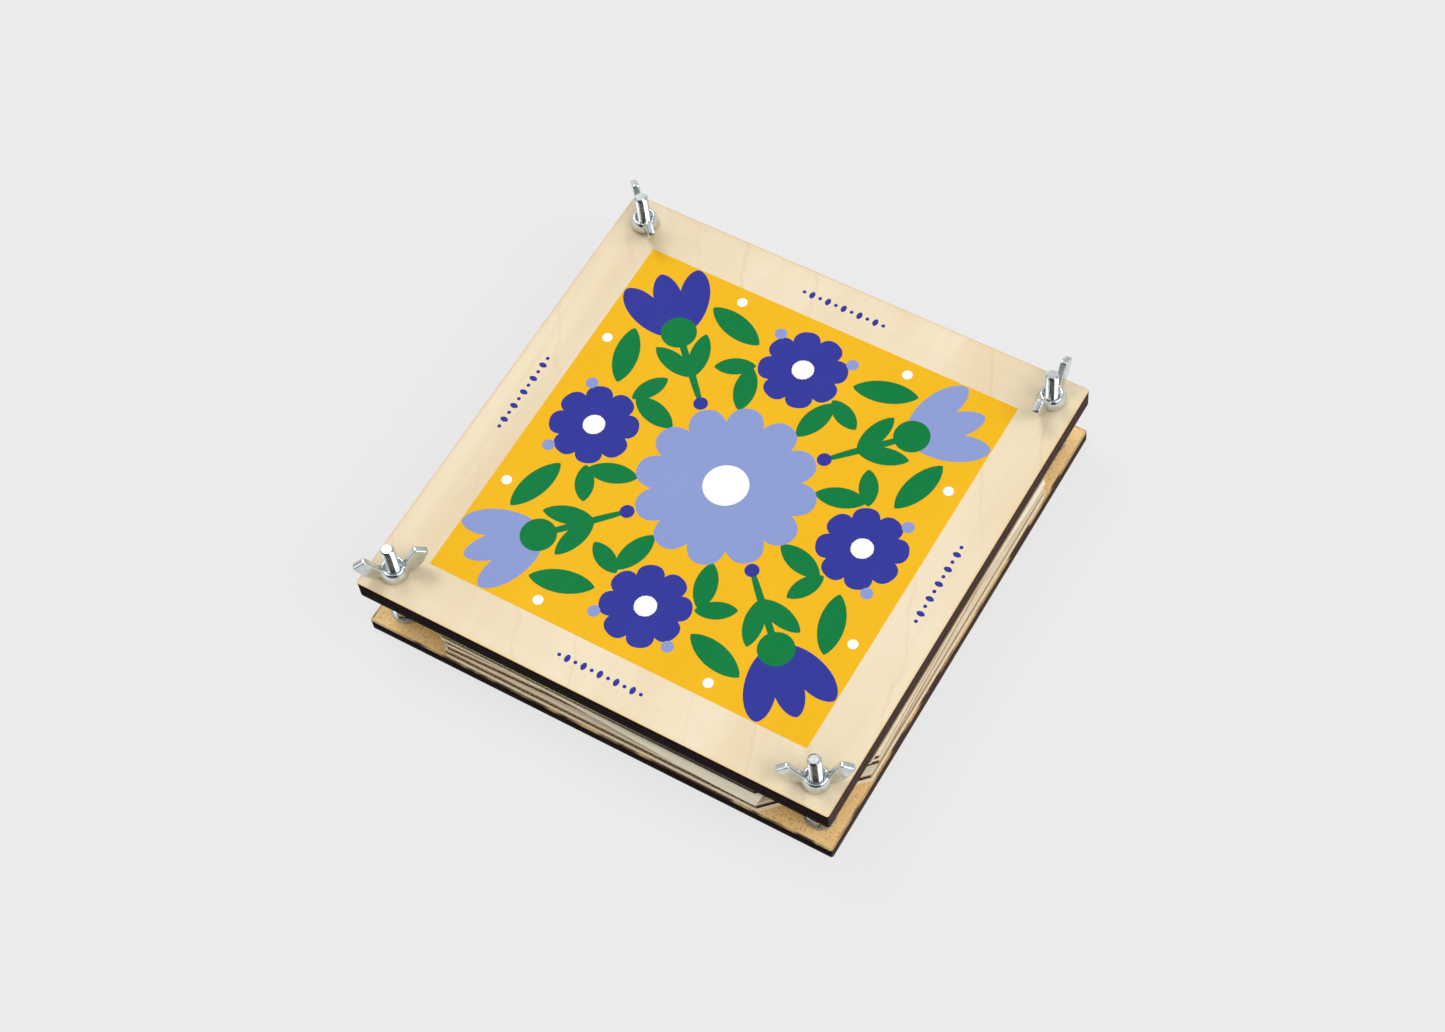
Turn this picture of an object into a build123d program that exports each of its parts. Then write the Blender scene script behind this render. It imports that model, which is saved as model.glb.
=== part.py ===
"""Flower press: two square plywood boards on four upright bolts, drawn together by wing nuts,
with a pile of corrugated cards and blotting papers between them.

Millimetres, +Z up. The origin is the centre of the bottom board's underside, and -Y is the front.
"""
import math
import os

from build123d import *

# Boards
board_side = 150.0
board_corner_radius = 0.8
top_board_thickness = 6.5
bottom_board_thickness = 4.0

# Bolts: machine screws with countersunk heads, let into the underside
bolt_inset = 7.9
bolt_diameter = 3.9
bolt_reach = 13.0
bolt_tip_chamfer = 0.5
bolt_head_diameter = 7.6
bolt_head_land = 0.3
recess_width = 1.0
recess_span = 3.9
recess_depth = 1.3
slide_clearance = 0.3
seat_clearance = 0.1
thread_clearance = 0.05

# Washer and hexagon nut that lock each bolt to the bottom board
washer_diameter = 9.0
washer_thickness = 0.8
hex_nut_width = 7.0
hex_nut_height = 3.2
hex_nut_chamfer = 0.45
hex_nut_chamfer_angle = 30.0

# Wing nuts: a low domed hub with two paddle wings
hub_base_diameter = 8.3
hub_base_height = 0.8
hub_base_chamfer = 0.25
hub_rim_inset = 1.05
hub_height = 3.7
hub_dome_swell = 0.3
hub_mouth_chamfer = 0.8
wing_span = 21.6
wing_height = 10.2
wing_thickness = 2.1
wing_root_height = 0.6
wing_crown_inset = 3.9
wing_crown_radius = 1.0
wing_tip_drop = 2.2
wing_tip_radius = 0.8
wing_belly_inset = 2.2
wing_belly_height = 3.4
wing_belly_radius = 5.0
wing_heel_inset = 4.6
wing_heel_height = 0.8
wing_heel_radius = 1.6
wing_edge_radius = 0.35

# How each wing nut and hexagon nut happens to be turned, in degrees about its bolt
wing_nut_angles = {"front_left": 43.3, "front_right": 29.5, "back_right": 90.0, "back_left": 136.6}
hex_nut_angles = {"front_left": 20.0, "front_right": 48.0, "back_right": 5.0, "back_left": 33.0}

# Pile: cards with papers below, between and above them
card_count = 4
papers_below = 4
papers_between = 2
papers_above = 3
paper_margin = 2.0
paper_thickness = 0.6
card_margin = 2.0
card_thickness = 1.8
pile_clearance = 1.25
pile_offset = 1.4
drift_width = 0.12
drift_step = 2.4
drift_turn = 0.08

# The middle sheets, counted from 0 at the bottom, lie slewed: their front right and back right run in
first_slewed_sheet = 7
last_slewed_sheet = 11
slew_turn = 1.6
slew_back = 1.5
slew_left = 0.8

# Corrugation: a folded wall between two liners, open at the front and the back
liner_thickness = 0.25
flute_pitch = 3.06
flute_crest_thickness = 0.22
flute_wall_thickness = 0.35
flute_crest_width = 0.5
card_edge_wall = 0.4

bolt_radius = bolt_diameter / 2
bolt_place = board_side / 2 - bolt_inset
corners = {
    "front_left": (-bolt_place, -bolt_place),
    "front_right": (bolt_place, -bolt_place),
    "back_right": (bolt_place, bolt_place),
    "back_left": (-bolt_place, bolt_place),
}
hub_base_radius = hub_base_diameter / 2
hub_rim_radius = hub_base_radius - hub_rim_inset
paper_count = papers_below + papers_between * (card_count - 1) + papers_above
pile_height = card_count * card_thickness + paper_count * paper_thickness
pile_floor = bottom_board_thickness
top_board_floor = pile_floor + pile_height
press_height = top_board_floor + top_board_thickness
bolt_length = press_height + bolt_reach


def turned(points):
    """A solid of revolution about Z from (radius, height) points."""
    outline = Polyline(*[(r, 0, z) for r, z in points], close=True)
    return revolve(make_face(outline), Axis.Z)


def board(thickness, hole_radius):
    """A square board with rounded corners and a hole for each bolt, its underside on Z = 0."""
    face = RectangleRounded(board_side, board_side, board_corner_radius)
    for x, y in corners.values():
        face -= Pos(x, y) * Circle(hole_radius)
    return extrude(face, thickness)


def bottom_board():
    """The lower board, countersunk from below for the bolt heads."""
    solid = board(bottom_board_thickness, bolt_radius + seat_clearance)
    mouth = bolt_head_diameter / 2 + seat_clearance
    throat = bolt_radius + seat_clearance
    sink = turned([
        (0, 0),
        (mouth, 0),
        (mouth, bolt_head_land),
        (throat, bolt_head_land + mouth - throat),
        (0, bolt_head_land + mouth - throat),
    ])
    for x, y in corners.values():
        solid -= Pos(x, y) * sink
    return solid


def top_board():
    """The upper board, free to slide on the bolts."""
    return Pos(0, 0, top_board_floor) * board(top_board_thickness, bolt_radius + slide_clearance)


def bolt():
    """A countersunk machine screw standing on its head, with a cross recess below."""
    head = bolt_head_diameter / 2
    shank = turned([
        (0, 0),
        (head, 0),
        (head, bolt_head_land),
        (bolt_radius, bolt_head_land + head - bolt_radius),
        (bolt_radius, bolt_length - bolt_tip_chamfer),
        (bolt_radius - bolt_tip_chamfer, bolt_length),
        (0, bolt_length),
    ])
    seat = (Align.CENTER, Align.CENTER, Align.MIN)
    shank -= Box(recess_span, recess_width, recess_depth, align=seat)
    shank -= Box(recess_width, recess_span, recess_depth, align=seat)
    return shank


def washer():
    """A flat ring on the bottom board."""
    ring = Circle(washer_diameter / 2) - Circle(bolt_radius + seat_clearance)
    return Pos(0, 0, bottom_board_thickness) * extrude(ring, washer_thickness)


def hex_nut():
    """A hexagon nut on its washer, its corners chamfered at both ends."""
    across_corners = hex_nut_width / math.cos(math.pi / 6)
    ring = RegularPolygon(across_corners / 2, 6) - Circle(bolt_radius + thread_clearance)
    blank = extrude(ring, hex_nut_height)
    corner = across_corners / 2
    drop = hex_nut_chamfer * math.tan(math.radians(hex_nut_chamfer_angle))
    envelope = turned([
        (0, 0),
        (corner - hex_nut_chamfer, 0),
        (corner, drop),
        (corner, hex_nut_height - drop),
        (corner - hex_nut_chamfer, hex_nut_height),
        (0, hex_nut_height),
    ])
    return Pos(0, 0, bottom_board_thickness + washer_thickness) * (blank & envelope)


def wing():
    """One paddle wing along +X, rising outwards to its crown and tip, its edges rounded."""
    root = bolt_radius + thread_clearance
    reach = wing_span / 2
    heel = (reach - wing_heel_inset, wing_heel_height)
    belly = (reach - wing_belly_inset, wing_belly_height)
    tip = (reach, wing_height - wing_tip_drop)
    crown = (reach - wing_crown_inset, wing_height)
    outline = [
        (root, wing_root_height),
        (hub_base_radius, wing_root_height),
        heel,
        belly,
        tip,
        crown,
        (hub_rim_radius, hub_height),
        (root, hub_height),
    ]
    face = make_face(Polyline(*outline, close=True))
    rounded = {
        heel: wing_heel_radius,
        belly: wing_belly_radius,
        tip: wing_tip_radius,
        crown: wing_crown_radius,
    }
    for (u, z), radius in rounded.items():
        vertex = face.vertices().sort_by_distance((u, z, 0))[0]
        face = fillet(vertex, radius)
    slab = extrude(Plane.XZ * face, wing_thickness / 2, both=True)
    rim = slab.faces().filter_by(Axis.Y).edges()
    rim = rim.filter_by(lambda edge: edge.center().X > hub_base_radius)
    return fillet(rim, wing_edge_radius)


def hub():
    """The hub's domed body, without its bore."""
    rise = hub_height - hub_base_height
    slope = math.hypot(hub_rim_inset, rise)
    middle = (
        hub_base_radius - hub_rim_inset / 2 + hub_dome_swell * rise / slope,
        hub_base_height + rise / 2 + hub_dome_swell * hub_rim_inset / slope,
    )
    foot = Polyline(
        (0, hub_height),
        (0, 0),
        (hub_base_radius - hub_base_chamfer, 0),
        (hub_base_radius, hub_base_chamfer),
        (hub_base_radius, hub_base_height),
    )
    dome = ThreePointArc((hub_base_radius, hub_base_height), middle, (hub_rim_radius, hub_height))
    top = Line((hub_rim_radius, hub_height), (0, hub_height))
    return revolve(Plane.XZ * make_face(foot + dome + top), Axis.Z)


def wing_nut():
    """The hub with both wings and the threaded bore, standing on the top board."""
    paddle = wing()
    nut = hub() + paddle + Rot(0, 0, 180) * paddle
    bore = bolt_radius + thread_clearance
    mouth = bore + hub_mouth_chamfer
    nut -= turned([
        (0, 0),
        (mouth, 0),
        (bore, hub_mouth_chamfer),
        (bore, hub_height - hub_mouth_chamfer),
        (mouth, hub_height),
        (0, hub_height),
    ])
    return Pos(0, 0, press_height) * nut


def cut_square(side):
    """The outline of a square sheet with its four corners cut off to clear the washers, as points."""
    half = side / 2
    overlap = 2 * (half + pile_offset - bolt_place)
    edge = half - overlap - math.sqrt(2) * (washer_diameter / 2 + pile_clearance)
    quarter = [(edge, -half), (half, -edge)]
    points = []
    for step in range(4):
        for x, y in quarter:
            for _ in range(step):
                x, y = -y, x
            points.append((x, y))
    return points


def paper():
    """A blotting paper, its underside on Z = 0."""
    outline = cut_square(board_side - 2 * paper_margin)
    return extrude(make_face(Polyline(*outline, close=True)), paper_thickness)


def card():
    """A corrugated card, its underside on Z = 0 and its flutes along Y."""
    side = board_side - 2 * card_margin
    half = side / 2
    core = card_thickness - 2 * liner_thickness
    depth = core - flute_crest_thickness
    crest = flute_crest_width / 2
    lean = core / depth
    foot = (flute_pitch / 2 - flute_wall_thickness - crest * lean) / (2 - lean)
    room = side - 2 * card_edge_wall - 2 * foot
    upper_count = int(room / flute_pitch)
    floor = liner_thickness
    ceiling = card_thickness - liner_thickness

    def flute(middle, base, rise):
        """One flute opening, its wide side on a liner."""
        return Wire.make_polygon([
            (middle - foot, 0, base),
            (middle + foot, 0, base),
            (middle + crest, 0, base + rise),
            (middle - crest, 0, base + rise),
        ])

    openings = []
    for k in range(upper_count + 1):
        openings.append(flute((k - upper_count / 2) * flute_pitch, floor, depth))
    for k in range(upper_count):
        openings.append(flute((k + 0.5 - upper_count / 2) * flute_pitch, ceiling, -depth))
    outer = Wire.make_polygon([
        (-half, 0, 0),
        (half, 0, 0),
        (half, 0, card_thickness),
        (-half, 0, card_thickness),
    ])
    blank = extrude(Face(outer, openings), half, dir=(0, 1, 0), both=True)
    sheet = extrude(make_face(Polyline(*cut_square(side), close=True)), card_thickness)
    return blank & sheet


def drifted(solid, step, height):
    """Lay a sheet in the pile with its own small drift and turn."""
    angle = step * drift_step
    x = pile_offset + drift_width * math.sin(angle)
    y = -pile_offset + drift_width * math.cos(angle)
    turn = drift_turn * math.sin(2 * angle)
    if first_slewed_sheet <= step <= last_slewed_sheet:
        x -= slew_left
        y += slew_back
        turn += slew_turn
    return Pos(x, y, height) * Rot(0, 0, turn) * solid


def pile():
    """Every sheet of the pile by name, from the bottom up."""
    middle = (["card"] + ["paper"] * papers_between) * (card_count - 1) + ["card"]
    order = ["paper"] * papers_below + middle + ["paper"] * papers_above
    blanks = {"paper": paper(), "card": card()}
    thickness = {"paper": paper_thickness, "card": card_thickness}
    counts = {"paper": 0, "card": 0}
    sheets = {}
    height = pile_floor
    for step, kind in enumerate(order):
        counts[kind] += 1
        name = "blotting_paper" if kind == "paper" else "corrugated_card"
        sheets[f"{name}_{counts[kind]}"] = drifted(blanks[kind], step, height)
        height += thickness[kind]
    return sheets


def fasteners():
    """Bolt, washer, hexagon nut and wing nut at each corner, by name."""
    pieces = {}
    shapes = {"bolt": bolt(), "washer": washer(), "hex_nut": hex_nut(), "wing_nut": wing_nut()}
    angles = {"hex_nut": hex_nut_angles, "wing_nut": wing_nut_angles}
    for kind, shape in shapes.items():
        for corner, (x, y) in corners.items():
            angle = angles.get(kind, {}).get(corner, 0.0)
            pieces[f"{kind}_{corner}"] = Pos(x, y) * Rot(0, 0, angle) * shape
    return pieces


os.makedirs("parts", exist_ok=True)
press = {"top_board": top_board(), "bottom_board": bottom_board(), **fasteners(), **pile()}
for node, solid in press.items():
    export_step(solid, f"parts/{node}.step")
print(f"{len(press)} pieces, pile {pile_height:.2f} mm, boards and pile {press_height:.2f} mm")
print(f"bolts {bolt_length:.2f} mm long")
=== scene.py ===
"""Looks of the flower press: plywood boards with charred edges and a printed panel, zinc-plated bolts and
wing nuts, and a pile of corrugated cards and blotting papers.

Metres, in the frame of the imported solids: +Z up, -Y the front.
"""
import math

import bmesh
import bpy
from mathutils import Matrix, Vector, noise


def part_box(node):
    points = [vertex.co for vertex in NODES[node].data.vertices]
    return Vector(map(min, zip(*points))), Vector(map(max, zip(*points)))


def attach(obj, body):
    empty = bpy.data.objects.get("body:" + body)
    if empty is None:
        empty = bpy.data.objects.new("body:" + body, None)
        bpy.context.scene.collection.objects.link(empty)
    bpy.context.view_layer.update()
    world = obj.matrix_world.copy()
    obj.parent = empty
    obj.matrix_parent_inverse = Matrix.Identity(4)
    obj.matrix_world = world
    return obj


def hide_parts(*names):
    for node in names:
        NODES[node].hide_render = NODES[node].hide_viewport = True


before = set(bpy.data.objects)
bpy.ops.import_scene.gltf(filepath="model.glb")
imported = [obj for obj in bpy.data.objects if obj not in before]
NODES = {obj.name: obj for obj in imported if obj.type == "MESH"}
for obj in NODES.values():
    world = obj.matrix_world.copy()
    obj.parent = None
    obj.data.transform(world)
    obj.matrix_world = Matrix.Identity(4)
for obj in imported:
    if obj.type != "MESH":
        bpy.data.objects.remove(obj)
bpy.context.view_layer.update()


def srgb(red, green, blue):
    """A colour as it looks on screen, 0 to 255, as linear RGBA."""
    linear = []
    for value in (red, green, blue):
        value /= 255
        linear.append(value / 12.92 if value <= 0.04045 else ((value + 0.055) / 1.055) ** 2.4)
    return (*linear, 1.0)


def grey(level):
    """A grey of a linear level, as RGBA."""
    return (level, level, level, 1)


MM = 0.001
CORNERS = ("front_left", "front_right", "back_right", "back_left")
CARDS = sorted(name for name in NODES if name.startswith("corrugated_card"))
PAPERS = sorted(
    (name for name in NODES if name.startswith("blotting_paper")),
    key=lambda name: int(name.split("_")[-1]),
)

# Meshes: points nearer than MERGE_GAP are one, faces that turn less than FLAT_TURN degrees are one, and edges
# that turn less than SMOOTH_TURN degrees shade smoothly
MERGE_GAP = 0.001 * MM
FLAT_TURN = 0.5
SMOOTH_TURN = 35

# Boards: edges that turn more than BOARD_ROUND_OVER degrees are rounded, and faces whose normal rises less
# than CUT_FACE_RISE are cut edges
TOP_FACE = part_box("top_board")[1].z
HALF_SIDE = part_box("top_board")[1].x
BOARD_EDGE_ROUND = 0.28 * MM
BOARD_ROUND_OVER = 60
CUT_FACE_RISE = 0.6
PLY_COUNT = {"top_board": 5, "bottom_board": 3}

# Printed panel: thin layers of ink on the top board
PANEL_HALF = 60.15 * MM
INK_SINK = 0.02 * MM
GROUND_INK = 0.03 * MM
MOTIF_INK = 0.045 * MM
INK_LAYER = 0.003 * MM
MOTIF_SEGMENTS = 48
LEAF_LAYER = 0
STEM_LAYER = 2
NAVY_LAYER = 3
PALE_LAYER = 5
SPOT_LAYER = 7
INK_COLOURS = {
    "yellow": srgb(241, 184, 22),
    "green": srgb(0, 122, 61),
    "navy": srgb(48, 54, 152),
    "periwinkle": srgb(139, 155, 208),
    "white": srgb(252, 252, 250),
}

# Marks in the margins, counted to each side of the middle one
MARGIN_MARK_PLACE = 67.3 * MM
MARGIN_MARK_PITCH = 2.6 * MM
MARGIN_MARK_COUNT = 5
MARGIN_DOT = 0.55 * MM
LOZENGE_LENGTH = 2.5 * MM
LOZENGE_WIDTH = 1.6 * MM

# Bolts; the profile of one turn of thread is the depth below the crest at shares of the pitch
THREAD_PITCH = 0.7 * MM
THREAD_DEPTH = 0.40 * MM
THREAD_PROFILE = ((THREAD_DEPTH, 0.0), (0.0, 0.44), (0.0, 0.56), (THREAD_DEPTH, 1.0))
THREAD_STEPS = 22
THREAD_SMOOTH_TURN = 40
THREAD_MERGE_GAP = 0.002 * MM
BOLT_TIP_CHAMFER = 0.5 * MM
BOLT_TIP_MERGE_GAP = 0.004 * MM

# Nuts and washers
NUT_EDGE_ROUND = 0.14 * MM
WASHER_EDGE_ROUND = 0.16 * MM
FASTENER_ROUND_OVER = 25
CASTING_VOXEL = 0.13 * MM
CASTING_SMOOTHING = 20
CASTING_SMOOTH_SHARE = 0.5
CASTING_SMOOTH_TURN = 60

# Papers: WAVE_REPEATS per metre, and each sheet's own waves by its height times SHEET_SEED
PAPER_SHOWN = 0.44 * MM
PAPER_WAVE = 0.06 * MM
PAPER_CELLS = 56
PAPER_GRID_MARGIN = 1 * MM
WAVE_REPEATS = 38
SHEET_SEED = 4000
UNDERSIDE = 0.01 * MM

# One paper's margin hangs down where the sheets below it lie slewed: at the front towards the right, and at
# the right towards the back
HANGING_PAPER = "blotting_paper_10"
HANG_SUPPORT = "blotting_paper_9"
FRONT_HANG = 6.0 * MM
FRONT_HANG_SPAN = (-22 * MM, 50 * MM)
FRONT_HANG_REACH = 75.2 * MM
SIDE_HANG = 2.6 * MM
SIDE_HANG_SPAN = (5 * MM, 48 * MM)
SIDE_HANG_REACH = 74.9 * MM
HANG_CURVE = 1.6
HANG_STEPS = 9
HANG_CLEARANCE = 0.15 * MM

# Deep shade under the top board's front edge, towards the right
SHADE_X = (-14 * MM, 30 * MM)
SHADE_Y = (-71 * MM, -66 * MM)
SHADE_Z = (12.4 * MM, 15.8 * MM)
SHADE_SHARE = 0.8

# Cards: thickness of a liner, the depth over which painted shade darkens a flute and its first and last share
# of that shade, and the strip along a card's shut sides that stays pale
LINER = 0.25 * MM
FLUTE_DEPTH = (0.0, 0.45 * MM)
FLUTE_SHADE_SHARES = (0.45, 0.93)
SHUT_SIDE = (0.1 * MM, 0.3 * MM)

# Noise patterns: repeats per metre across the grain, along it and upright, then detail and roughness
PATTERNS = {
    "veneer_clouds": ((42, 9, 42), 3.0, 0.5),
    "veneer_fibres": ((1500, 45, 1500), 3.0, 0.6),
    "veneer_flecks": ((1900, 170, 1900), 1.0, 0.55),
    "growth_patches": ((30, 16, 30), 2.0, 0.55),
    "zinc_spangle": ((420, 420, 420), 3.0, 0.6),
    "handling_marks": ((2600, 900, 2600), 4.0, 0.7),
    "pulp_mottle": ((130, 130, 700), 4.0, 0.65),
    "pulp_fibres": ((2300, 1500, 2300), 3.0, 0.7),
    "soot_specks": ((1700, 1200, 1700), 4.0, 0.7),
    "soot_patches": ((95, 80, 95), 2.0, 0.55),
    "beam_streaks": ((1700, 1700, 60), 3.0, 0.6),
    "ink_tooth": ((1500, 60, 1500), 3.0, 0.6),
    "ink_clouds": ((60, 30, 60), 2.0, 0.55),
}
GROWTH_LINES = (17, 7, 17)
FIGURE_TURN = 24.0

# The largest share of the line colour in growth lines, fibres and flecks, and how deep a fleck is cut
LINE_SHARE = 0.24
FIBRE_SHARE = 0.07
FLECK_SHARE = 0.22
FLECK_DEPTH = 0.7

# Raised grain: strength and depth
TOP_GRAIN = (0.16, 0.1 * MM)
BOTTOM_GRAIN = (0.2, 0.1 * MM)
CHAR_GRAIN = (0.35, 0.12 * MM)
INK_GRAIN = (0.08, 0.1 * MM)
ZINC_GRAIN = (0.03, 0.05 * MM)
PAPER_GRAIN = (0.35, 0.1 * MM)
KRAFT_GRAIN = (0.4, 0.1 * MM)

# Scorched rims: width from the board's edge, and colour
GOLDEN_RIM = (0.9 * MM, srgb(238, 198, 132))
SCORCH_LINE = (0.3 * MM, srgb(206, 152, 96))
SOOT = (15 * MM, srgb(146, 102, 52))
BURNT_NICKS = (0.9 * MM, srgb(70, 44, 26))

# Other colours
TOP_WOOD = {"Pale": srgb(240, 225, 194), "Warm": srgb(234, 214, 177), "Line": srgb(214, 176, 132)}
BOTTOM_WOOD = {"Pale": srgb(254, 222, 164), "Warm": srgb(249, 208, 142), "Line": srgb(200, 150, 88)}
# Char of the cut edges in two copies: a darker one, painted shade for the shaded front, that also covers the
# back and left, and a lighter, browner one, painted light for the lit right side
SHADED_CHAR = (srgb(26, 19, 19), srgb(46, 36, 35))
LIT_CHAR = (srgb(64, 51, 49), srgb(90, 73, 68))
BOLT_ZINC = {"Bright": srgb(223, 229, 230), "Dull": srgb(204, 211, 213)}
NUT_ZINC = {"Bright": srgb(200, 204, 207), "Dull": srgb(168, 173, 178)}
WING_NUT_ZINC = {"Bright": srgb(220, 226, 227), "Dull": srgb(200, 208, 210)}
BLOTTING_PAPER = {"Pale": srgb(251, 242, 220), "Dark": srgb(243, 230, 203)}
KRAFT_BOARD = {"Pale": srgb(198, 166, 124), "Dark": srgb(168, 136, 96)}
DEEP_SHADE = srgb(44, 34, 30)
# Painted shade inside the cards' flutes
PAINTED_FLUTE_SHADE = srgb(40, 30, 21)

# Camera, worked out from the top face's outline
CAMERA_LENS = 73.227
CAMERA_SENSOR = 36
CAMERA_PLACE = Vector((0.26231, -0.34059, TOP_FACE + 0.69818))
CAMERA_AIM = Vector((0.00417, -0.00896, TOP_FACE))
CAMERA_ROLL = math.radians(8.672)

# Softboxes: place, width and power
SOFTBOXES = (
    ("key_softbox", (2.8, 0.1, 2.54), 2.6, 64.0),
    ("left_softbox", (-1.5, 0.75, 2.49), 1.05, 21.0),
)

# The room's light, from the horizon up to a height
HORIZON = grey(0.36)
OVERHEAD = grey(0.62)
OVERHEAD_FROM = 0.8
BACKDROP = srgb(236, 236, 236)

# The room as the bright metal shows it: brighter than it lights, an unlit front and a white panel on the left
MIRRORED_ROOM = 1.22
DARK_FRONT = Vector((0.309, -0.951, 0.0))
DARK_FRONT_WIDTH = (0.70, 0.82)
DARK_FRONT_TOP = (0.80, 0.92)
UNLIT = grey(0.04)
LEFT_PANEL = Vector((-0.739, -0.427, 0.521))
LEFT_PANEL_WIDTH = (0.955, 0.985)
PANEL_WHITE = grey(1.3)

# The share of the floor's paleness that is a glow; the rest is the light on it, which carries the shadow
FLOOR_GLOW = 0.84
FLOOR_GLOW_COLOUR = srgb(238, 238, 238)
FLOOR_COLOUR = srgb(224, 224, 224)
FLOOR_HALF = 12.0


# Shader nodes

def put(tree, kind, **inputs):
    """Add a node and set its properties and sockets; a socket takes a value or another node's output."""
    node = tree.nodes.new("ShaderNode" + kind)
    for name, value in inputs.items():
        name = name.replace("_", " ") if name[0].isupper() else name
        if name in node.inputs:
            feed(tree, node.inputs[name], value)
        else:
            setattr(node, name, value)
    return node


def feed(tree, socket, value):
    """Set a socket to a value, or link it to another node's output."""
    if isinstance(value, bpy.types.NodeSocket):
        tree.links.new(value, socket)
    else:
        socket.default_value = value


def calculate(tree, operation, first, second=0.0, third=0.0, clamp=False):
    """The result of one Math node."""
    node = put(tree, "Math", operation=operation, use_clamp=clamp)
    for socket, value in zip(node.inputs, (first, second, third)):
        feed(tree, socket, value)
    return node.outputs[0]


def times(tree, first, second):
    """Two values multiplied."""
    return calculate(tree, "MULTIPLY", first, second)


def along(tree, vector, direction):
    """How far a vector points along a direction."""
    node = put(tree, "VectorMath", operation="DOT_PRODUCT")
    feed(tree, node.inputs[0], vector)
    feed(tree, node.inputs[1], direction)
    return node.outputs["Value"]


def blend(tree, share, first, second):
    """Two colours mixed by a share of the second."""
    node = put(tree, "Mix", data_type="RGBA", blend_type="MIX")
    feed(tree, node.inputs[0], share)
    feed(tree, node.inputs[6], first)
    feed(tree, node.inputs[7], second)
    return node.outputs[2]


def ramp(tree, value, low, high, start=0.0, end=1.0):
    """A value carried from low..high to start..end, kept inside that range."""
    node = put(tree, "MapRange", interpolation_type="SMOOTHSTEP", Value=value, From_Min=low, From_Max=high,
               To_Min=start, To_Max=end)
    return node.outputs[0]


def object_axes(tree):
    """The X, Y and Z of a point in Object coordinates."""
    return put(tree, "SeparateXYZ", Vector=put(tree, "TexCoord").outputs["Object"]).outputs


def stretched(tree, repeats, turn=0.0):
    """Object coordinates scaled for a pattern that runs along Y, or turned from Y by an angle in degrees."""
    place = put(tree, "TexCoord").outputs["Object"]
    if turn:
        place = put(tree, "Mapping", Vector=place, Rotation=(0, 0, math.radians(-turn))).outputs[0]
    return put(tree, "Mapping", Vector=place, Scale=repeats).outputs[0]


def speckle(tree, pattern, turn=0.0, distortion=0.0):
    """The value of a named noise pattern."""
    repeats, detail, rough = PATTERNS[pattern]
    node = put(tree, "TexNoise", Vector=stretched(tree, repeats, turn), Scale=1.0, Detail=detail,
               Roughness=rough, Distortion=distortion)
    return node.outputs["Fac"]


def group(name, inputs, outputs):
    """A new shader node group; inputs and outputs map socket names to their types."""
    tree = bpy.data.node_groups.new(name, "ShaderNodeTree")
    for socket, kind in inputs.items():
        tree.interface.new_socket(socket, in_out="INPUT", socket_type="NodeSocket" + kind)
    for socket, kind in outputs.items():
        tree.interface.new_socket(socket, in_out="OUTPUT", socket_type="NodeSocket" + kind)
    return tree, tree.nodes.new("NodeGroupInput").outputs, tree.nodes.new("NodeGroupOutput").inputs


def use(tree, shared, **inputs):
    """Place a node group in a material with its own values."""
    node = tree.nodes.new("ShaderNodeGroup")
    node.node_tree = shared
    for name, value in inputs.items():
        feed(tree, node.inputs[name.replace("_", " ")], value)
    return node.outputs


def finish(name, roughness, specular=0.5, metallic=0.0):
    """A new material with its shader, and the tree to build on."""
    material = bpy.data.materials.new(name)
    material.use_nodes = True
    tree = material.node_tree
    tree.nodes.clear()
    shader = put(tree, "BsdfPrincipled", Roughness=roughness, Metallic=metallic)
    shader.inputs["Specular IOR Level"].default_value = specular
    output = put(tree, "OutputMaterial")
    tree.links.new(shader.outputs[0], output.inputs["Surface"])
    return material, tree, shader.inputs


def raise_grain(tree, height, strength, distance):
    """A bump normal from a height value."""
    return put(tree, "Bump", Strength=strength, Distance=distance, Height=height).outputs[0]


# Shared looks

def make_veneer():
    """Birch veneer: broad clouds, wandering growth lines, and fine fibres and short dark flecks along Y."""
    tree, given, result = group("birch_veneer", {"Pale": "Color", "Warm": "Color", "Line": "Color"},
                                {"Color": "Color", "Height": "Float"})
    clouds = speckle(tree, "veneer_clouds", distortion=0.6)
    fibres = speckle(tree, "veneer_fibres")
    bends = put(tree, "TexWave", Vector=stretched(tree, GROWTH_LINES, FIGURE_TURN), Scale=1.0, Distortion=8.0,
                Detail=5.0, Detail_Scale=0.8, Detail_Roughness=0.62, bands_direction="X",
                wave_profile="SAW").outputs["Fac"]
    where = speckle(tree, "growth_patches", FIGURE_TURN)
    lines = times(tree, ramp(tree, bends, 0.92, 0.995), ramp(tree, where, 0.40, 0.64))
    flecks = ramp(tree, speckle(tree, "veneer_flecks"), 0.70, 0.80)
    colour = blend(tree, ramp(tree, clouds, 0.34, 0.68), given["Pale"], given["Warm"])
    colour = blend(tree, times(tree, lines, LINE_SHARE), colour, given["Line"])
    colour = blend(tree, ramp(tree, fibres, 0.35, 0.75, 0.0, FIBRE_SHARE), colour, given["Line"])
    colour = blend(tree, times(tree, flecks, FLECK_SHARE), colour, given["Line"])
    feed(tree, result["Color"], colour)
    feed(tree, result["Height"], calculate(tree, "ADD", fibres, times(tree, flecks, -FLECK_DEPTH)))
    return tree


def make_rim():
    """How near a point of a board is to the board's edges: 1 at the edge, 0 from Width inwards."""
    tree, given, result = group("board_rim", {"Half Side": "Float", "Width": "Float"}, {"Fac": "Float"})
    axes = object_axes(tree)
    across = calculate(tree, "ABSOLUTE", axes[0])
    lengthwise = calculate(tree, "ABSOLUTE", axes[1])
    gap = calculate(tree, "SUBTRACT", given["Half Side"], calculate(tree, "MAXIMUM", across, lengthwise))
    share = calculate(tree, "DIVIDE", gap, given["Width"])
    feed(tree, result["Fac"], calculate(tree, "SUBTRACT", 1.0, share, clamp=True))
    return tree


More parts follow.
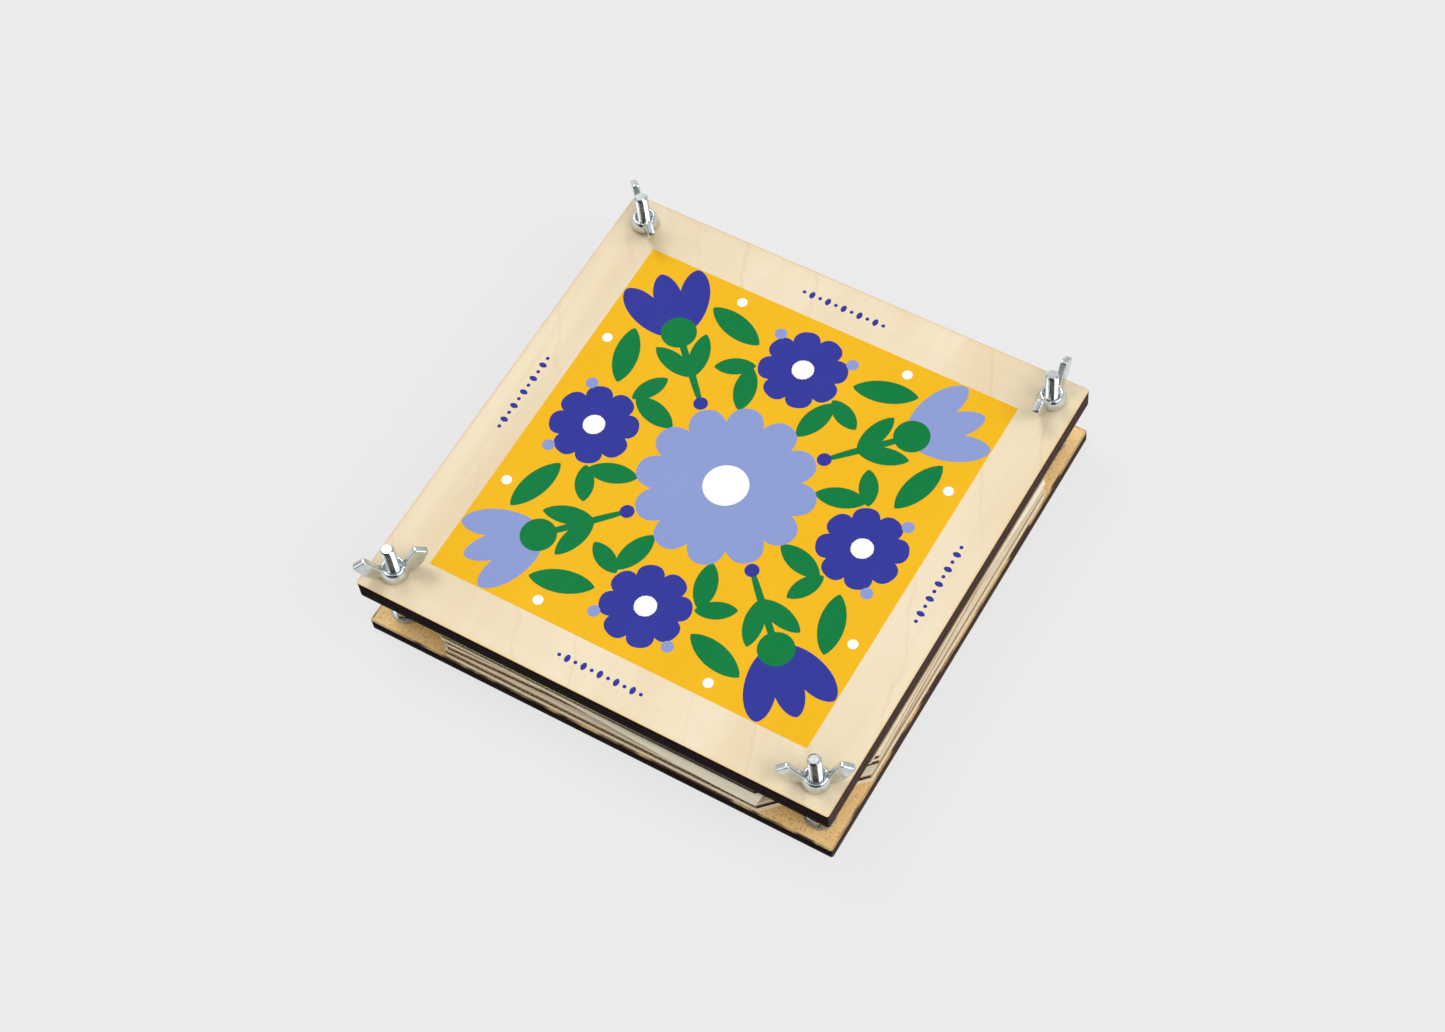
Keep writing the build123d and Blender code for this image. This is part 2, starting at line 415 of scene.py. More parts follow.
def make_plating():
    """Zinc plating: faint cloudy spangle and fine handling marks."""
    tree, given, result = group("zinc_plating", {"Bright": "Color", "Dull": "Color"},
                                {"Color": "Color", "Roughness": "Float", "Height": "Float"})
    spangle = speckle(tree, "zinc_spangle")
    marks = speckle(tree, "handling_marks")
    colour = blend(tree, ramp(tree, spangle, 0.35, 0.70), given["Bright"], given["Dull"])
    feed(tree, result["Color"], colour)
    worn = calculate(tree, "ADD", spangle, marks)
    feed(tree, result["Roughness"], ramp(tree, worn, 0.75, 1.30, 0.10, 0.22))
    feed(tree, result["Height"], marks)
    return tree


def make_pulp():
    """Pressed pulp: pale and dark fibres, a soft tooth, and the deep shade behind the hanging margin."""
    tree, given, result = group("paper_pulp", {"Pale": "Color", "Dark": "Color"},
                                {"Color": "Color", "Height": "Float"})
    mottle = speckle(tree, "pulp_mottle")
    fibres = speckle(tree, "pulp_fibres")
    mixed = calculate(tree, "ADD", times(tree, mottle, 0.6), times(tree, fibres, 0.4))
    colour = blend(tree, ramp(tree, mixed, 0.36, 0.68), given["Pale"], given["Dark"])
    axes = object_axes(tree)
    shade = times(tree, ramp(tree, axes[0], *SHADE_X), ramp(tree, axes[1], *SHADE_Y, 1.0, 0.0))
    shade = times(tree, shade, ramp(tree, axes[2], *SHADE_Z, 0.0, SHADE_SHARE))
    feed(tree, result["Color"], blend(tree, shade, colour, DEEP_SHADE))
    feed(tree, result["Height"], fibres)
    return tree


VENEER = make_veneer()
RIM = make_rim()
PLATING = make_plating()
PULP = make_pulp()


# Materials

def rim_of(tree, width):
    """How near the board's edge a point is, within a width."""
    return use(tree, RIM, Half_Side=HALF_SIDE, Width=width)["Fac"]


def top_veneer():
    """The top board's sanded face, with a thin scorch line where the cutting beam passed."""
    material, tree, shader = finish("top_veneer", roughness=0.52, specular=0.35)
    wood = use(tree, VENEER, **TOP_WOOD)
    rim_width, golden = GOLDEN_RIM
    line_width, scorched = SCORCH_LINE
    rim = rim_of(tree, rim_width)
    line = rim_of(tree, line_width)
    colour = blend(tree, times(tree, rim, 0.5), wood["Color"], golden)
    colour = blend(tree, ramp(tree, line, 0.35, 0.85, 0.0, 0.8), colour, scorched)
    feed(tree, shader["Base Color"], colour)
    feed(tree, shader["Normal"], raise_grain(tree, wood["Height"], *TOP_GRAIN))
    return material


def bottom_veneer():
    """The bottom board's face, golden with smoke and speckled with scorch towards its edges."""
    material, tree, shader = finish("bottom_veneer", roughness=0.6, specular=0.3)
    wood = use(tree, VENEER, **BOTTOM_WOOD)
    soot_width, sooty = SOOT
    nick_width, burnt = BURNT_NICKS
    near = rim_of(tree, soot_width)
    line = rim_of(tree, nick_width)
    soot = speckle(tree, "soot_specks")
    patches = speckle(tree, "soot_patches")
    spots = times(tree, ramp(tree, soot, 0.50, 0.66), ramp(tree, patches, 0.30, 0.60, 0.4, 1.0))
    spots = times(tree, spots, ramp(tree, near, 0.10, 0.60))
    nicks = times(tree, ramp(tree, line, 0.1, 0.6), ramp(tree, patches, 0.42, 0.56, 0.35, 1.0))
    colour = blend(tree, times(tree, spots, 0.7), wood["Color"], sooty)
    colour = blend(tree, nicks, colour, burnt)
    feed(tree, shader["Base Color"], colour)
    feed(tree, shader["Normal"], raise_grain(tree, wood["Height"], *BOTTOM_GRAIN))
    return material


def charred_edge(board):
    """A board's cut edge: char-brown plies with upright streaks of the cutting beam, with painted light
    making the right side's char lighter and browner, and painted shade in the darker char of the other sides.
    """
    material, tree, shader = finish(f"{board}_charred_edge", roughness=0.9, specular=0.02)
    low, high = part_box(board)
    ply = (high.z - low.z) / PLY_COUNT[board]
    axes = object_axes(tree)
    layer = calculate(tree, "DIVIDE", calculate(tree, "SUBTRACT", axes[2], low.z), ply)
    swing = calculate(tree, "PINGPONG", layer, 1.0)
    streaks = speckle(tree, "beam_streaks")
    char = calculate(tree, "ADD", times(tree, ramp(tree, swing, 0.35, 0.65), 0.3), times(tree, streaks, 0.6))
    dark = blend(tree, ramp(tree, char, 0.2, 0.8), *SHADED_CHAR)
    light = blend(tree, ramp(tree, char, 0.2, 0.8), *LIT_CHAR)
    # Painted light and shade: the lighter char copy on the right side, the darker copy on the other sides
    colour = blend(tree, ramp(tree, axes[0], HALF_SIDE - 0.4 * MM, HALF_SIDE - 0.1 * MM), dark, light)
    feed(tree, shader["Base Color"], colour)
    relief = calculate(tree, "ADD", streaks, swing)
    feed(tree, shader["Normal"], raise_grain(tree, relief, *CHAR_GRAIN))
    return material


def ink(name, colour):
    """A flat printed ink that lets the wood's tooth through."""
    material, tree, shader = finish(name, roughness=0.6, specular=0.12)
    tooth = speckle(tree, "ink_tooth")
    clouds = speckle(tree, "ink_clouds")
    thin = calculate(tree, "ADD", times(tree, tooth, 0.5), times(tree, clouds, 0.5))
    paler = tuple(min(1.0, channel * 1.03 + 0.003) for channel in colour[:3]) + (1.0,)
    feed(tree, shader["Base Color"], blend(tree, ramp(tree, thin, 0.4, 0.65), colour, paler))
    feed(tree, shader["Normal"], raise_grain(tree, tooth, *INK_GRAIN))
    return material


def zinc(name, colours):
    """Bright zinc-plated steel."""
    material, tree, shader = finish(name, roughness=0.22, metallic=1.0)
    plating = use(tree, PLATING, **colours)
    feed(tree, shader["Base Color"], plating["Color"])
    feed(tree, shader["Roughness"], plating["Roughness"])
    feed(tree, shader["Normal"], raise_grain(tree, plating["Height"], *ZINC_GRAIN))
    return material


def blotting_paper():
    """Soft uncoated paper."""
    material, tree, shader = finish("blotting_paper", roughness=0.88, specular=0.2)
    sheet = use(tree, PULP, **BLOTTING_PAPER)
    feed(tree, shader["Base Color"], sheet["Color"])
    feed(tree, shader["Normal"], raise_grain(tree, sheet["Height"], *PAPER_GRAIN))
    return material


def kraft(card):
    """Brown kraft of one card, with painted shade inside its flutes from just behind the open ends."""
    low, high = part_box(card)
    middle = (low + high) / 2
    thickness = high.z - low.z
    front = sorted(sorted(outline_of(card), key=lambda point: point.y)[:2], key=lambda point: point.x)
    lie = (front[1] - front[0]).normalized()
    half = (front[0] - middle.xy).dot(Vector((lie.y, -lie.x)))
    material, tree, shader = finish(f"{card}_kraft", roughness=0.88, specular=0.15)
    sheet = use(tree, PULP, **KRAFT_BOARD)
    own = put(tree, "Mapping", vector_type="TEXTURE", Vector=put(tree, "TexCoord").outputs["Object"],
              Location=(middle.x, middle.y, low.z), Rotation=(0, 0, math.atan2(lie.y, lie.x)))
    axes = put(tree, "SeparateXYZ", Vector=own.outputs[0]).outputs
    depth = calculate(tree, "SUBTRACT", half, calculate(tree, "ABSOLUTE", axes[1]))
    above = ramp(tree, axes[2], LINER / 2, LINER)
    below = ramp(tree, axes[2], thickness - LINER, thickness - LINER / 2, 1.0, 0.0)
    inside = times(tree, above, below)
    aside = calculate(tree, "SUBTRACT", half, calculate(tree, "ABSOLUTE", axes[0]))
    inside = times(tree, inside, ramp(tree, aside, *SHUT_SIDE))
    # Painted shade inside the flutes: it deepens from the open ends and is kept off the shut sides and the
    # liners' outer faces
    painted_flute_shade = times(tree, inside, ramp(tree, depth, *FLUTE_DEPTH, *FLUTE_SHADE_SHARES))
    feed(tree, shader["Base Color"], blend(tree, painted_flute_shade, sheet["Color"], PAINTED_FLUTE_SHADE))
    feed(tree, shader["Normal"], raise_grain(tree, sheet["Height"], *KRAFT_GRAIN))
    return material


def floor_paint():
    """Pale matt paint that glows a little to the camera and in the metal, so that its shadow stays faint."""
    material, tree, shader = finish("floor_paint", roughness=0.9, specular=0.0)
    feed(tree, shader["Base Color"], FLOOR_COLOUR)
    rays = put(tree, "LightPath").outputs
    seen = calculate(tree, "MAXIMUM", rays["Is Camera Ray"], rays["Is Glossy Ray"])
    seen = calculate(tree, "MAXIMUM", seen, rays["Is Transmission Ray"])
    glow = put(tree, "Emission", Color=FLOOR_GLOW_COLOUR, Strength=1.0)
    mixed = put(tree, "MixShader", Fac=times(tree, seen, FLOOR_GLOW))
    feed(tree, mixed.inputs[1], tree.nodes["Principled BSDF"].outputs[0])
    feed(tree, mixed.inputs[2], glow.outputs[0])
    feed(tree, tree.nodes["Material Output"].inputs["Surface"], mixed.outputs[0])
    return material


# Making pieces

def piece(name, shape, materials, body, stands_for=None, smooth=None):
    """Turn a bmesh into an object that rides on a body; edges that turn less than smooth shade smoothly."""
    if smooth:
        for face in shape.faces:
            face.smooth = True
        for edge in shape.edges:
            edge.smooth = not edge.is_manifold or edge.calc_face_angle() < math.radians(smooth)
    mesh = bpy.data.meshes.new(name)
    shape.to_mesh(mesh)
    shape.free()
    for material in materials:
        mesh.materials.append(material)
    made = bpy.data.objects.new(name, mesh)
    bpy.context.scene.collection.objects.link(made)
    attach(made, body)
    if stands_for:
        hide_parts(stands_for)
    return made


def merged_copy(node):
    """A node's solid as a bmesh of whole faces."""
    mesh = NODES[node].data.copy()
    if "custom_normal" in mesh.attributes:
        mesh.attributes.remove(mesh.attributes["custom_normal"])
    shape = bmesh.new()
    shape.from_mesh(mesh)
    bpy.data.meshes.remove(mesh)
    bmesh.ops.remove_doubles(shape, verts=shape.verts, dist=MERGE_GAP)
    bmesh.ops.dissolve_limit(shape, angle_limit=math.radians(FLAT_TURN), verts=shape.verts, edges=shape.edges)
    return shape


def everything(shape):
    """All points, edges and faces of a shape."""
    return shape.verts[:] + shape.edges[:] + shape.faces[:]


def points_of(items):
    """The points among an operator's results."""
    return [item for item in items if isinstance(item, bmesh.types.BMVert)]


def round_edges(shape, width, over, segments=2):
    """Bevel the edges whose faces turn by more than an angle in degrees."""
    sharp = [edge for edge in shape.edges if edge.is_manifold and edge.calc_face_angle() > math.radians(over)]
    bmesh.ops.bevel(shape, geom=sharp, offset=width, offset_type="OFFSET", affect="EDGES", segments=segments,
                    profile=0.5, material=-1, clamp_overlap=True)


def trim(shape, height, keep_above):
    """Cut a shape level and close the cut; gives the closing faces."""
    cut = bmesh.ops.bisect_plane(shape, geom=everything(shape), plane_co=(0, 0, height), plane_no=(0, 0, 1),
                                 clear_inner=keep_above, clear_outer=not keep_above)
    rim = [item for item in cut["geom_cut"] if isinstance(item, bmesh.types.BMEdge)]
    return bmesh.ops.edgeloop_fill(shape, edges=rim)["faces"]


# Boards and fasteners

def boards():
    """Both boards, their cut edges eased and charred."""
    kinds = (
        ("top_board", top_veneer(), "top_board", "top_ply"),
        ("bottom_board", bottom_veneer(), "base", "bottom_ply"),
    )
    for board, veneer, body, slot in kinds:
        shape = merged_copy(board)
        round_edges(shape, BOARD_EDGE_ROUND, BOARD_ROUND_OVER)
        for face in shape.faces:
            face.material_index = 1 if abs(face.normal.z) < CUT_FACE_RISE else 0
        piece(f"{board}_plywood", shape, [veneer, charred_edge(board)], body, board, SMOOTH_TURN)


def bolt_radius(node):
    """The shank's radius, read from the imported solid's upper half."""
    low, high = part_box(node)
    axis = (low + high) / 2
    upper = [vertex.co for vertex in NODES[node].data.vertices if vertex.co.z > axis.z]
    return max((point.xy - axis.xy).length for point in upper)


def cut_thread(axis, crest, start, top):
    """A closed length of thread about an upright axis, with a chamfered tip."""
    thread = bmesh.new()
    points = [thread.verts.new((crest - cut, 0, share * THREAD_PITCH)) for cut, share in THREAD_PROFILE]
    for first, second in zip(points, points[1:]):
        thread.edges.new((first, second))
    turns = math.ceil((top - start) / THREAD_PITCH) + 2
    bmesh.ops.spin(thread, geom=thread.verts[:] + thread.edges[:], angle=turns * math.tau,
                   steps=turns * THREAD_STEPS, axis=(0, 0, 1), cent=(0, 0, 0),
                   dvec=(0, 0, THREAD_PITCH / THREAD_STEPS))
    bmesh.ops.remove_doubles(thread, verts=thread.verts, dist=THREAD_MERGE_GAP)
    bmesh.ops.translate(thread, verts=thread.verts, vec=(axis.x, axis.y, start - THREAD_PITCH))
    trim(thread, start, keep_above=True)
    tip = trim(thread, top - BOLT_TIP_CHAMFER, keep_above=False)
    rim = points_of(bmesh.ops.extrude_face_region(thread, geom=tip)["geom"])
    bmesh.ops.delete(thread, geom=tip, context="FACES_ONLY")
    shrink = 1 - BOLT_TIP_CHAMFER / crest
    bmesh.ops.scale(thread, verts=rim, vec=(shrink, shrink, 1), space=Matrix.Translation(-axis))
    bmesh.ops.translate(thread, verts=rim, vec=(0, 0, BOLT_TIP_CHAMFER))
    bmesh.ops.remove_doubles(thread, verts=thread.verts, dist=BOLT_TIP_MERGE_GAP)
    bmesh.ops.recalc_face_normals(thread, faces=thread.faces)
    return thread


def bolts():
    """Threaded bolts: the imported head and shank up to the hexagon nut, and a cut thread above it."""
    steel = zinc("bolt_zinc", BOLT_ZINC)
    for corner in CORNERS:
        node = f"bolt_{corner}"
        low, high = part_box(node)
        nut_low, nut_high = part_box(f"hex_nut_{corner}")
        start = (nut_low.z + nut_high.z) / 2
        shape = merged_copy(node)
        trim(shape, start, keep_above=False)
        thread = cut_thread((low + high) / 2, bolt_radius(node), start, high.z)
        mesh = bpy.data.meshes.new("thread")
        thread.to_mesh(mesh)
        thread.free()
        shape.from_mesh(mesh)
        bpy.data.meshes.remove(mesh)
        piece(f"{node}_threaded", shape, [steel], "base", node, THREAD_SMOOTH_TURN)


def small_fasteners():
    """Washers and hexagon nuts with eased edges."""
    steel = zinc("nut_zinc", NUT_ZINC)
    for kind, width in (("washer", WASHER_EDGE_ROUND), ("hex_nut", NUT_EDGE_ROUND)):
        for corner in CORNERS:
            node = f"{kind}_{corner}"
            shape = merged_copy(node)
            round_edges(shape, width, FASTENER_ROUND_OVER)
            piece(f"{node}_plated", shape, [steel], "base", node, SMOOTH_TURN)


def wing_nuts():
    """Cast wing nuts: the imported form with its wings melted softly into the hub."""
    steel = zinc("wing_nut_zinc", WING_NUT_ZINC)
    for corner in CORNERS:
        node = f"wing_nut_{corner}"
        rough = bpy.data.objects.new("casting", NODES[node].data.copy())
        bpy.context.scene.collection.objects.link(rough)
        remesh = rough.modifiers.new("casting", "REMESH")
        remesh.mode = "VOXEL"
        remesh.voxel_size = CASTING_VOXEL
        cast = bpy.data.meshes.new_from_object(rough.evaluated_get(bpy.context.evaluated_depsgraph_get()))
        shape = bmesh.new()
        shape.from_mesh(cast)
        bpy.data.objects.remove(rough)
        for _ in range(CASTING_SMOOTHING):
            bmesh.ops.smooth_vert(shape, verts=shape.verts, factor=CASTING_SMOOTH_SHARE, use_axis_x=True,
                                  use_axis_y=True, use_axis_z=True)
        piece(f"{node}_cast", shape, [steel], node, node, CASTING_SMOOTH_TURN)


# The pile

def outline_of(node):
    """The eight corners of a sheet's underside, in order round it."""
    low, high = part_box(node)
    middle = (low + high) / 2
    shape = merged_copy(node)
    points = [vertex.co.xy.copy() for vertex in shape.verts if vertex.co.z < low.z + UNDERSIDE]
    shape.free()
    return sorted(points, key=lambda point: math.atan2(point.y - middle.y, point.x - middle.x))


def support_lines():
    """The front and right edges of the sheets under the hanging paper, as slope and place of each line."""
    points = outline_of(HANG_SUPPORT)
    front = sorted(points, key=lambda point: point.y)[:2]
    right = sorted(points, key=lambda point: -point.x)[:2]
    front_slope = (front[1].y - front[0].y) / (front[1].x - front[0].x)
    right_slope = (right[1].x - right[0].x) / (right[1].y - right[0].y)
    front_place = front[0].y - front_slope * front[0].x
    right_place = right[0].x - right_slope * right[0].y
    return (front_slope, front_place), (right_slope, right_place)


def cut_margins(shape):
    """Close cuts along the front and right margins, so that these can bend."""
    (front_slope, front_place), (right_slope, right_place) = support_lines()
    low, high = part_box(HANGING_PAPER)
    for step in range(HANG_STEPS):
        share = step / HANG_STEPS
        cuts = (
            ((0, front_place + share * (low.y - front_place), 0), (front_slope, -1, 0)),
            ((right_place + share * (high.x - right_place), 0, 0), (-1, right_slope, 0)),
        )
        for place, across in cuts:
            bmesh.ops.bisect_plane(shape, geom=everything(shape), plane_co=place, plane_no=across)


def eased(value, span):
    """0 before a span and 1 after it, with soft ends."""
    share = min(1.0, max(0.0, (value - span[0]) / (span[1] - span[0])))
    return share * share * (3 - 2 * share)


def hang_margins(shape):
    """Bend the margins down beyond the edge of the sheets below."""
    (front_slope, front_place), (right_slope, right_place) = support_lines()
    low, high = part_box(HANGING_PAPER)
    for vertex in shape.verts:
        x, y = vertex.co.xy
        edge = front_place + front_slope * x - HANG_CLEARANCE
        share = min(1.0, max(0.0, (edge - y) / (edge - low.y)))
        amount = eased(x, FRONT_HANG_SPAN)
        vertex.co.z -= FRONT_HANG * amount * share ** HANG_CURVE
        vertex.co.y -= (FRONT_HANG_REACH + low.y) * amount * share
        edge = right_place + right_slope * y + HANG_CLEARANCE
        share = min(1.0, max(0.0, (x - edge) / (high.x - edge)))
        amount = eased(y, SIDE_HANG_SPAN)
        vertex.co.z -= SIDE_HANG * amount * share ** HANG_CURVE
        vertex.co.x += (SIDE_HANG_REACH - high.x) * amount * share


def papers():
    """Blotting papers: thin soft sheets, not quite flat."""
    cream = blotting_paper()
    for node in PAPERS:
        low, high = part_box(node)
        middle = (low + high) / 2
        outline = outline_of(node)
        shape = bmesh.new()
        bmesh.ops.create_grid(shape, x_segments=PAPER_CELLS, y_segments=PAPER_CELLS,
                              size=(high.x - low.x) / 2 + PAPER_GRID_MARGIN,
                              matrix=Matrix.Translation((middle.x, middle.y, low.z)))
        for first, second in zip(outline, outline[1:] + outline[:1]):
            edge = second - first
            bmesh.ops.bisect_plane(shape, geom=everything(shape), plane_co=(*first, 0),
                                   plane_no=(edge.y, -edge.x, 0), clear_outer=True)
        if node == HANGING_PAPER:
            cut_margins(shape)
        base = (low.z + high.z - PAPER_SHOWN) / 2
        for vertex in shape.verts:
            spot = (vertex.co.x * WAVE_REPEATS, vertex.co.y * WAVE_REPEATS, base * SHEET_SEED)
            vertex.co.z = base + PAPER_WAVE * noise.noise(Vector(spot))
        if node == HANGING_PAPER:
            hang_margins(shape)
        lifted = points_of(bmesh.ops.extrude_face_region(shape, geom=shape.faces[:])["geom"])
        bmesh.ops.translate(shape, verts=lifted, vec=(0, 0, PAPER_SHOWN))
        bmesh.ops.recalc_face_normals(shape, faces=shape.faces)
        piece(f"{node}_sheet", shape, [cream], node, node, SMOOTH_TURN)


def cards():
    """Corrugated cards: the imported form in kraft."""
    for node in CARDS:
        NODES[node].data.materials.clear()
        NODES[node].data.materials.append(kraft(node))


# The printed panel

def lay_ink(shape, ring, bottom, top):
    """Give a flat outline of ink its thickness."""
    face = ring[0].link_faces[0]
    bmesh.ops.translate(shape, verts=ring, vec=(0, 0, TOP_FACE + bottom))
    upper = points_of(bmesh.ops.extrude_face_region(shape, geom=[face])["geom"])
    bmesh.ops.translate(shape, verts=upper, vec=(0, 0, top - bottom))


def dot(shape, place, radius, layer, bottom=GROUND_INK - INK_SINK):
    """A round spot of ink."""
    ring = bmesh.ops.create_circle(shape, cap_ends=True, segments=MOTIF_SEGMENTS, radius=radius,
                                   matrix=Matrix.Translation((*place, 0)))["verts"]
    lay_ink(shape, ring, bottom, MOTIF_INK + layer * INK_LAYER)


def leaf(shape, foot, heading, length, width, layer, point=1.5, swell=0.0, bottom=GROUND_INK - INK_SINK):
    """A leaf or petal of ink from its foot along a heading in degrees.

    A higher point sharpens both ends, and swell makes the far end wider than the foot.
    """
    ring = bmesh.ops.create_circle(shape, cap_ends=True, segments=MOTIF_SEGMENTS, radius=1.0)["verts"]
    for vertex in ring:
        share = (vertex.co.x + 1) / 2
        across = math.copysign(abs(vertex.co.y) ** point, vertex.co.y)
        vertex.co.x = share * length
        vertex.co.y = across * width / 2 * (1 + swell * (2 * share - 1))
    turn = Matrix.Rotation(math.radians(heading), 4, "Z")
    bmesh.ops.transform(shape, verts=ring, matrix=Matrix.Translation((*foot, 0)) @ turn)
    lay_ink(shape, ring, bottom, MOTIF_INK + layer * INK_LAYER)


def polar(radius, heading, start=Vector((0, 0))):
    """A point at a distance and heading in degrees from a start."""
    return start + radius * Vector((math.cos(math.radians(heading)), math.sin(math.radians(heading))))


def flower(petals, middles, place, count, inner, outer, width, middle, layer, turn):
    """A round flower: petals about a middle spot, every other one a layer higher."""
    for step in range(count):
        heading = turn + step * 360 / count
        leaf(petals, polar(inner, heading, place), heading, outer - inner, width, layer + step % 2,
             point=0.9, swell=0.35)
    dot(middles, place, middle, layer + 2)


def tulip(petals, greens, place, heading, size, layer):
    """A cup of three petals on a green foot, in shares of its size."""
    for lean in (21, -21):
        foot = polar(0.16 * size, heading + math.copysign(90, lean), place)
        leaf(petals, foot, heading + lean, size, 0.42 * size, layer, point=1.2, swell=0.12)
    leaf(petals, place, heading, 1.02 * size, 0.40 * size, layer + 1, point=1.2, swell=0.12)
    dot(greens, place, 0.25 * size, layer + 2)


def printed_panel():
    """The printed panel: a yellow ground with a garden medallion in green, navy, periwinkle and white."""
    ground, greens, navies, periwinkles, whites = (bmesh.new() for _ in range(5))
    plate = bmesh.ops.create_grid(ground, x_segments=1, y_segments=1, size=PANEL_HALF)["verts"]
    lay_ink(ground, plate, -INK_SINK, GROUND_INK)

    flower(periwinkles, whites, Vector((0, 0)), count=12, inner=5.5 * MM, outer=26 * MM, width=10.4 * MM,
           middle=6.6 * MM, layer=PALE_LAYER, turn=15)
    for quarter in range(4):
        side = quarter * 90
        diagonal = side + 45
        middle = polar(43.5 * MM, side)
        flower(navies, whites, middle, count=8, inner=2.6 * MM, outer=13.0 * MM, width=7.4 * MM,
               middle=3.2 * MM, layer=NAVY_LAYER, turn=side + 22.5)
        for hand in (-1, 1):
            leaf(greens, polar(25 * MM, side + hand * 22), heading=side + hand * 16,
                 length=15 * MM, width=6.6 * MM, layer=LEAF_LAYER)
            leaf(greens, polar(15.5 * MM, side + hand * 84, middle), heading=side + hand * 74,
                 length=19 * MM, width=7.4 * MM, layer=LEAF_LAYER)
            leaf(greens, polar(13.5 * MM, side + hand * 112, middle), heading=side + hand * 118,
                 length=12 * MM, width=5.6 * MM, layer=LEAF_LAYER + 1)
            dot(periwinkles, polar(14.2 * MM, side + hand * 56, middle), radius=1.8 * MM, layer=PALE_LAYER)
        petals, layer = (navies, NAVY_LAYER) if quarter % 2 else (periwinkles, PALE_LAYER)
        tulip(petals, greens, polar(54 * MM, diagonal), heading=diagonal, size=21 * MM, layer=layer)
        leaf(greens, polar(29 * MM, diagonal), heading=diagonal, length=26 * MM, width=2.2 * MM,
             layer=STEM_LAYER, point=0.5)
        for hand in (-1, 1):
            leaf(greens, polar(38 * MM, diagonal), heading=diagonal + hand * 30, length=15 * MM,
                 width=5.8 * MM, layer=LEAF_LAYER + (hand > 0))
            dot(whites, polar(62 * MM, diagonal + hand * 19), radius=1.5 * MM, layer=SPOT_LAYER)
        dot(navies, polar(28.5 * MM, diagonal), radius=2.1 * MM, layer=NAVY_LAYER)

    inks = (
        ("ground", ground, "yellow"),
        ("leaves", greens, "green"),
        ("dark_petals", navies, "navy"),
        ("pale_petals", periwinkles, "periwinkle"),
        ("spots", whites, "white"),
    )
    for name, shape, colour in inks:
        bmesh.ops.recalc_face_normals(shape, faces=shape.faces)
        material = ink(f"ink_{colour}", INK_COLOURS[colour])
        piece(f"panel_{name}", shape, [material], "top_board", None)


def margin_marks():
    """A short row of navy lozenges and dots in the middle of each margin."""
    shape = bmesh.new()
    for side in (0, 90, 180, 270):
        middle = polar(MARGIN_MARK_PLACE, side)
        for step in range(-MARGIN_MARK_COUNT, MARGIN_MARK_COUNT + 1):
            place = polar(step * MARGIN_MARK_PITCH, side + 90, middle)
            if step % 2:
                dot(shape, place, MARGIN_DOT, LEAF_LAYER, bottom=-INK_SINK)
            else:
                leaf(shape, polar(-LOZENGE_LENGTH / 2, side, place), side, LOZENGE_LENGTH, LOZENGE_WIDTH,
                     LEAF_LAYER, point=1.3, bottom=-INK_SINK)
    bmesh.ops.recalc_face_normals(shape, faces=shape.faces)
    piece("margin_marks", shape, [bpy.data.materials["ink_navy"]], "top_board", None)


# The studio

def floor():
    """A wide pale floor."""
    mesh = bpy.data.meshes.new("floor")
    shape = bmesh.new()
    bmesh.ops.create_grid(shape, x_segments=1, y_segments=1, size=FLOOR_HALF)
    shape.to_mesh(mesh)
    shape.free()
    ground = bpy.data.objects.new("floor", mesh)
    bpy.context.scene.collection.objects.link(ground)
    mesh.materials.append(floor_paint())


def softboxes():
    """Soft lamps that face the press."""
    for name, place, size, power in SOFTBOXES:
        data = bpy.data.lights.new(name, "AREA")
        data.size = size
        data.energy = power
        lamp = bpy.data.objects.new(name, data)
        lamp.location = place
        lamp.rotation_euler = (-Vector(place)).to_track_quat("-Z", "Y").to_euler()
        bpy.context.scene.collection.objects.link(lamp)


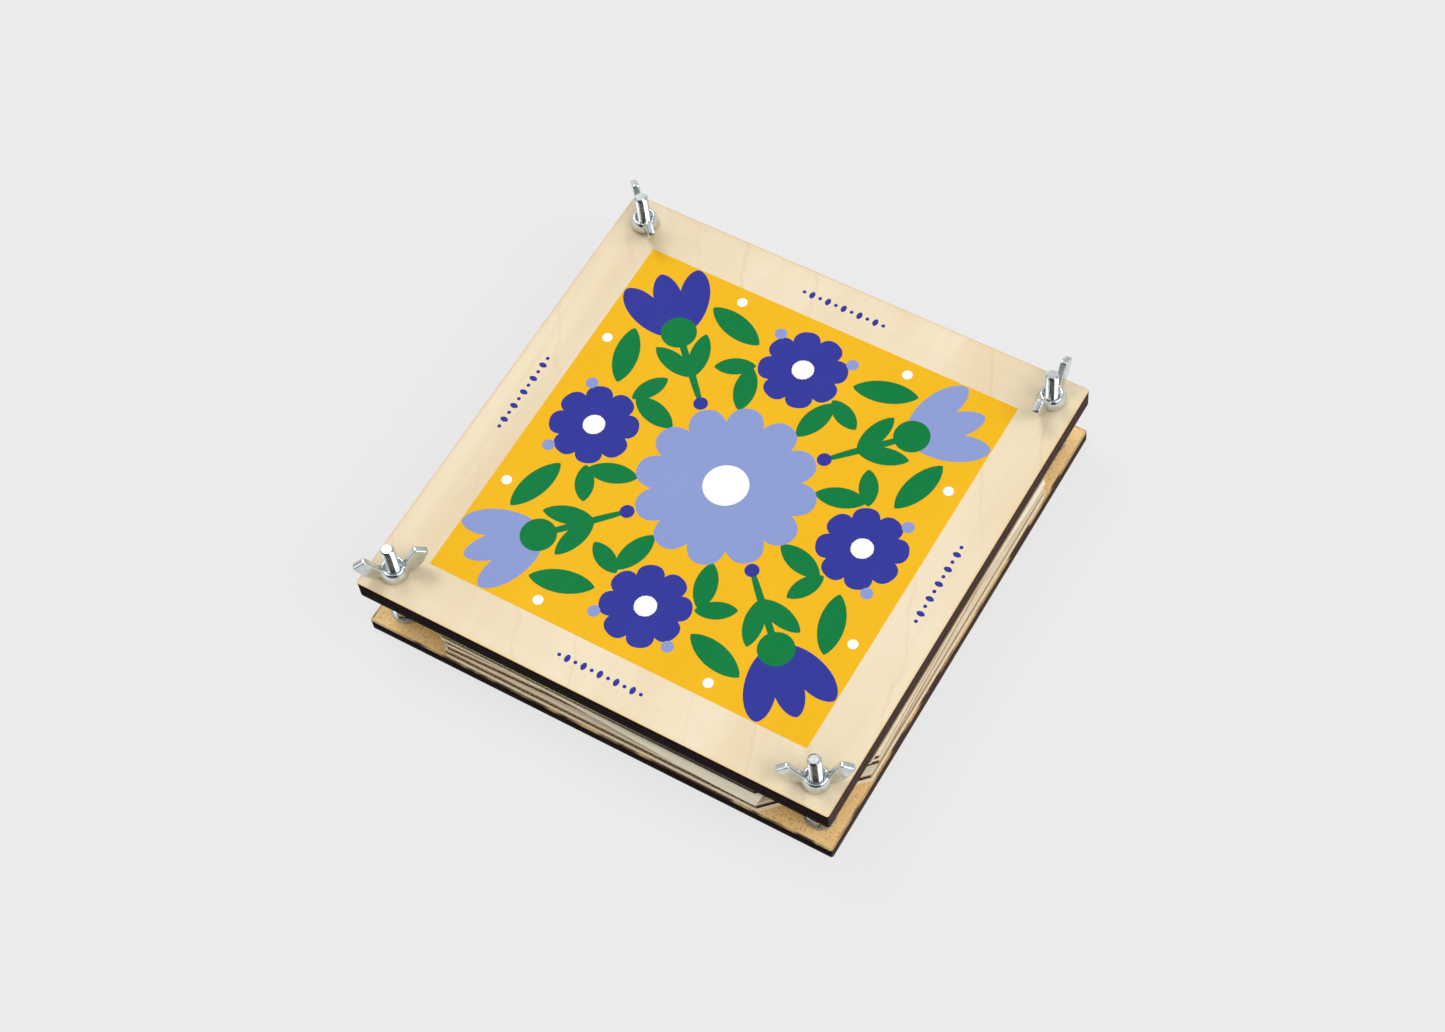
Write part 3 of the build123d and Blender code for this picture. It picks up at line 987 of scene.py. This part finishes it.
def room():
    """The room's soft light, its mirror image in the metal and the pale backdrop."""
    world = bpy.data.worlds.new("studio")
    world.use_nodes = True
    tree = world.node_tree
    tree.nodes.clear()
    way = put(tree, "TexCoord").outputs["Generated"]
    upward = put(tree, "SeparateXYZ", Vector=way).outputs[2]
    sky = blend(tree, ramp(tree, upward, 0.0, OVERHEAD_FROM), HORIZON, OVERHEAD)
    level = put(tree, "VectorMath", operation="MULTIPLY")
    feed(tree, level.inputs[0], way)
    feed(tree, level.inputs[1], (1, 1, 0))
    level = put(tree, "VectorMath", operation="NORMALIZE", Vector=level.outputs[0]).outputs[0]
    ahead = along(tree, level, DARK_FRONT)
    unlit = times(tree, ramp(tree, ahead, *DARK_FRONT_WIDTH), ramp(tree, upward, *DARK_FRONT_TOP, 1.0, 0.0))
    rays = put(tree, "LightPath").outputs
    unlit = times(tree, unlit, rays["Is Glossy Ray"])
    sky = blend(tree, unlit, sky, UNLIT)
    sky = blend(tree, ramp(tree, along(tree, way, LEFT_PANEL), *LEFT_PANEL_WIDTH), sky, PANEL_WHITE)
    sky = blend(tree, rays["Is Camera Ray"], sky, BACKDROP)
    strength = calculate(tree, "MULTIPLY_ADD", rays["Is Glossy Ray"], MIRRORED_ROOM - 1, 1.0)
    light = put(tree, "Background", Color=sky, Strength=strength)
    tree.links.new(light.outputs[0], put(tree, "OutputWorld").inputs["Surface"])
    bpy.context.scene.world = world


def camera():
    """The camera at the photograph's angle."""
    data = bpy.data.cameras.new("camera")
    data.lens = CAMERA_LENS
    data.sensor_width = CAMERA_SENSOR
    data.sensor_fit = "HORIZONTAL"
    eye = bpy.data.objects.new("camera", data)
    ahead = (CAMERA_AIM - CAMERA_PLACE).normalized()
    level = ahead.cross(Vector((0, 0, 1))).normalized()
    upright = level.cross(ahead)
    up = upright * math.cos(CAMERA_ROLL) + level * math.sin(CAMERA_ROLL)
    side = ahead.cross(up)
    turn = Matrix((side, up, -ahead)).transposed()
    eye.matrix_world = Matrix.Translation(CAMERA_PLACE) @ turn.to_4x4()
    bpy.context.scene.collection.objects.link(eye)
    bpy.context.scene.camera = eye


boards()
bolts()
small_fasteners()
wing_nuts()
cards()
papers()
printed_panel()
margin_marks()
floor()
softboxes()
room()
camera()
bpy.context.scene.view_settings.view_transform = "Standard"
